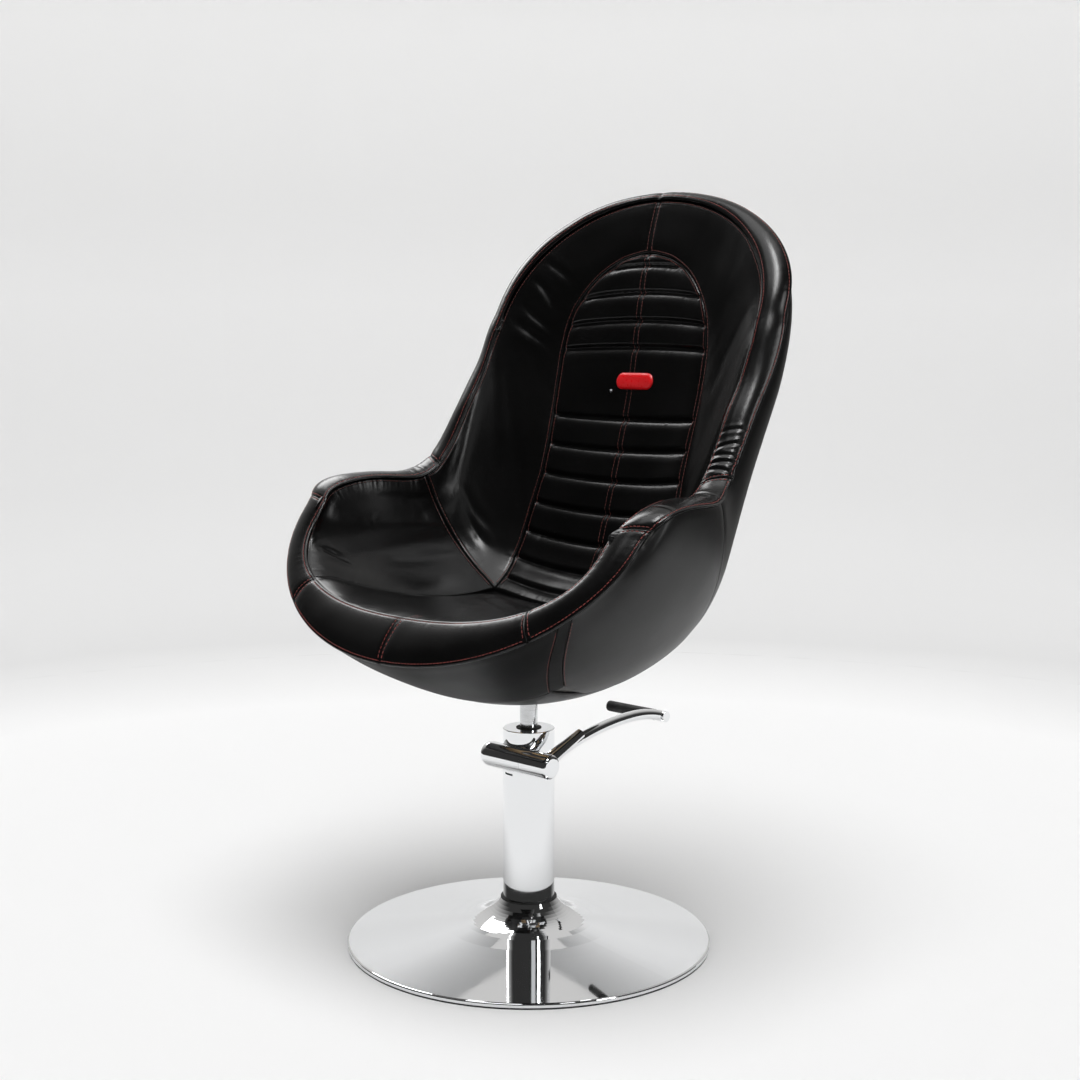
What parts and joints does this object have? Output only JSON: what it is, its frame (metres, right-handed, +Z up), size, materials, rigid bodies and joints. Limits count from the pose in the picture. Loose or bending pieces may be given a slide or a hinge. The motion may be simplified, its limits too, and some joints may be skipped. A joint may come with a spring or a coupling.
{
  "type": "hairdressing chair",
  "caption": "Bucket-seat salon chair with channelled back pad on a pedal-pumped hydraulic column and round dish base; seat lifts and swivels.",
  "frame": {"origin": "floor, at the centre of the round base", "axes": "+Z up, the chair faces -Y, its pedal is on the +X side"},
  "size_m": [0.7436, 0.677, 1.1981],
  "materials": {
    "mirror_chrome": "mirror-polished chrome plate",
    "ground_rod": "ground and hard-chromed piston rod",
    "black_rubber": "matt black moulded rubber",
    "dark_painted_steel": "black powder coat",
    "zinc_steel": "bright zinc-plated steel",
    "pump_steel": "plain drawn steel, oiled",
    "bronze": "sintered bronze",
    "alloy": "turned aluminium",
    "plywood": "birch plywood, uncoated",
    "shell_plastic": "moulded reinforced plastic, unseen under the upholstery",
    "outer_leather": "black semi-gloss upholstery leather, dark red double stitching at the seams",
    "pad_leather": "black semi-gloss upholstery leather over foam, dark red stitching"
  },
  "bodies": {
    "base": {"base_dish": "mirror_chrome", "floor_ring": "black_rubber", "ballast_disc": "dark_painted_steel", "dish_hub": "dark_painted_steel", "pump_flange": "dark_painted_steel", "flange_bolts": "zinc_steel", "column_cover": "mirror_chrome", "column_grommet": "black_rubber", "reservoir_tube": "pump_steel", "foot_block": "pump_steel", "pump_cylinder": "pump_steel", "pump_barrel": "pump_steel", "pump_head": "mirror_chrome", "guide_bush": "bronze", "rod_wiper": "black_rubber", "pedal_bushes": "bronze", "plunger_spring": "zinc_steel"},
    "pedal": {"pedal_shaft": "zinc_steel", "pedal_lever": "mirror_chrome", "lever_set_screw": "zinc_steel", "foot_grip": "black_rubber"},
    "plunger": {"plunger": "zinc_steel"},
    "lift": {"piston_rod": "ground_rod", "piston": "alloy", "piston_seal": "black_rubber", "piston_nut": "zinc_steel", "thrust_washer": "bronze", "retaining_washer": "zinc_steel", "retaining_screw": "zinc_steel"},
    "seat": {"seat_plate": "dark_painted_steel", "swivel_bush": "bronze", "seat_bolts": "zinc_steel", "tee_nuts": "zinc_steel", "seat_platform": "plywood", "bucket_shell": "shell_plastic", "underside_panel": "outer_leather", "outer_front_panel": "outer_leather", "outer_strip_left": "outer_leather", "outer_strip_right": "outer_leather", "outer_side_left": "outer_leather", "outer_side_right": "outer_leather", "outer_back_panel": "outer_leather", "rim_band_front": "outer_leather", "rim_band_arm_left": "outer_leather", "rim_band_arm_right": "outer_leather", "rim_band_back": "outer_leather", "seat_cushion": "pad_leather", "arm_pad_left": "pad_leather", "arm_pad_right": "pad_leather", "back_pad": "pad_leather", "wing_pad_left": "pad_leather", "wing_pad_right": "pad_leather"}
  },
  "joints": [
    {"name": "seat_lift", "type": "slide", "parent": "base", "child": "lift", "axis": [0, 0, 1], "range_m": [0, 0.13]},
    {"name": "seat_swivel", "type": "hinge", "parent": "lift", "child": "seat", "pos_m": [0, 0, 0.42], "axis": [0, 0, 1], "continuous": true},
    {"name": "pedal_press", "type": "hinge", "parent": "base", "child": "pedal", "pos_m": [0, -0.045, 0.307], "axis": [-1, 0, 0], "range_deg": [0, 28], "stiffness_Nm_per_rad": 3, "springref_deg": -57.3},
    {"name": "plunger_stroke", "type": "slide", "parent": "base", "child": "plunger", "axis": [0, 0, -1], "range_m": [0, 0.0092], "deforming": ["plunger_spring"]}
  ],
  "couplings": [
    {"joint": "plunger_stroke", "follows": "pedal_press", "m_per_rad": 0.018}
  ]
}
